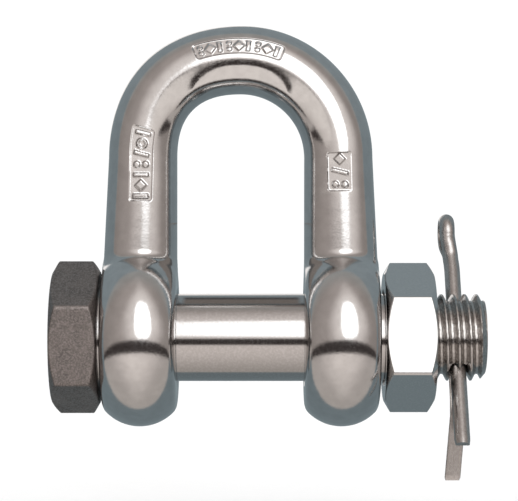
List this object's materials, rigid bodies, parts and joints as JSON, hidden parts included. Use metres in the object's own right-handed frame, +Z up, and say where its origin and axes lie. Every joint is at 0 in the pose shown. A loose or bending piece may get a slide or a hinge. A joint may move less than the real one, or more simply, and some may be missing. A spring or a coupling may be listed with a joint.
{
  "type": "dee shackle",
  "caption": "Bolt-type dee shackle: a forged bow with two ears, closed by a hex-headed bolt, its nut and a cotter pin.",
  "frame": {"origin": "middle of the bolt's axis, halfway between the two ears", "axes": "+X along the bolt from its head to its nut, +Z up to the crown of the bow, so -Y is the side seen from the front"},
  "size_m": [0.0941, 0.0388, 0.0987],
  "materials": {
    "bow_polished": "electropolished stainless steel",
    "bolt_steel": "head as forged and dull, shank and thread machined bright",
    "nut_polished": "polished stainless steel",
    "cotter_wire": "drawn half-round stainless wire, satin"
  },
  "bodies": {
    "bow": {"bow": "bow_polished"},
    "bolt": {"bolt": "bolt_steel"},
    "nut": {"nut": "nut_polished"},
    "cotter": {"cotter_pin": "cotter_wire"}
  },
  "joints": [
    {"name": "bolt_turn", "type": "hinge", "parent": "bow", "child": "bolt", "pos_m": [0, 0, 0], "axis": [-1, 0, 0], "range_deg": [0, 330]},
    {"name": "nut_travel", "type": "slide", "parent": "bow", "child": "nut", "axis": [1, 0, 0], "range_m": [0, 0.00233]},
    {"name": "cotter_slide", "type": "slide", "parent": "bolt", "child": "cotter", "axis": [0, 0.5446, 0.8387], "range_m": [-0.0115, 0.002]}
  ],
  "couplings": [
    {"joint": "nut_travel", "follows": "bolt_turn", "m_per_rad": 0.000404}
  ]
}
